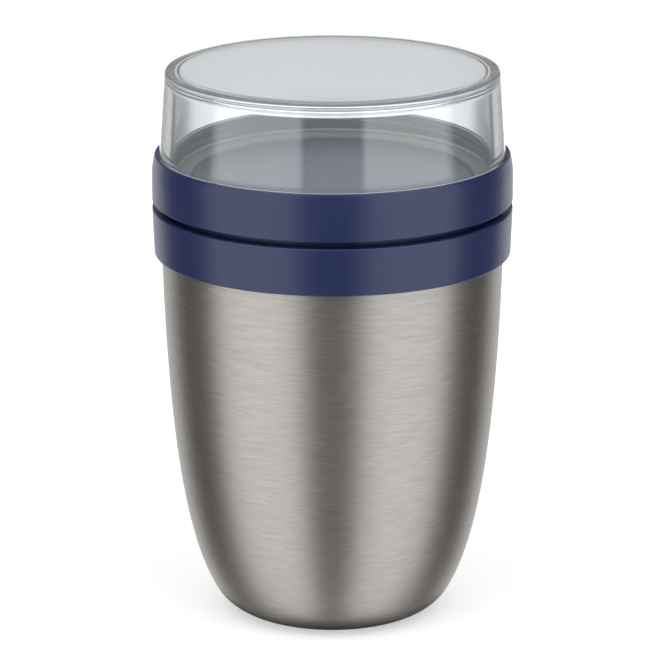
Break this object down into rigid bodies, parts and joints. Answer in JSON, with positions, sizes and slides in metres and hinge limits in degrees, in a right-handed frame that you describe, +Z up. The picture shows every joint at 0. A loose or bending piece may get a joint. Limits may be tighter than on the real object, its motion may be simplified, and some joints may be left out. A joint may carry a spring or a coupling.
{
  "type": "insulated lunch pot",
  "caption": "Egg-shaped double-walled steel food pot with a screw lid and a clear cup carried upside down in the lid's ring.",
  "frame": {"origin": "centre of the standing face, on the axis of the pot", "axes": "+Z up along the axis of the pot, towards the cup; X and Y are free, as the pot is round"},
  "size_m": [0.11, 0.11, 0.1707],
  "materials": {
    "brushed_steel": "stainless steel brushed round the pot",
    "plain_steel": "satin stainless steel",
    "navy_plastic": "satin moulded plastic, navy",
    "silicone": "translucent pale silicone",
    "foam": "rigid insulating foam",
    "solder_glass": "fused solder glass",
    "getter_metal": "sintered metal tablet",
    "clear_plastic": "thick clear plastic, polished"
  },
  "bodies": {
    "pot": {"outer_shell": "brushed_steel", "inner_vessel": "plain_steel", "outer_bottom": "plain_steel", "vacuum_bead": "solder_glass", "getter": "getter_metal", "base_cover": "brushed_steel", "pot_collar": "navy_plastic"},
    "lid_seal": {"pot_seal": "silicone"},
    "lid": {"lid_body": "navy_plastic", "lid_plug": "navy_plastic", "lid_insulation": "foam"},
    "mouth_seal": {"cup_seal": "silicone"},
    "cup": {"clear_cup": "clear_plastic"}
  },
  "joints": [
    {"name": "lid_lift", "type": "slide", "parent": "pot", "child": "lid_seal", "axis": [0, 0, 1], "range_m": [0, 0.045]},
    {"name": "lid_turn", "type": "hinge", "parent": "lid_seal", "child": "lid", "pos_m": [0, 0, 0.13], "axis": [0, 0, 1], "range_deg": [0, 120]},
    {"name": "cup_turn", "type": "hinge", "parent": "lid", "child": "mouth_seal", "pos_m": [0, 0, 0.138], "axis": [0, 0, 1], "range_deg": [0, 120]},
    {"name": "cup_lift", "type": "slide", "parent": "mouth_seal", "child": "cup", "axis": [0, 0, 1], "range_m": [0, 0.03]}
  ]
}
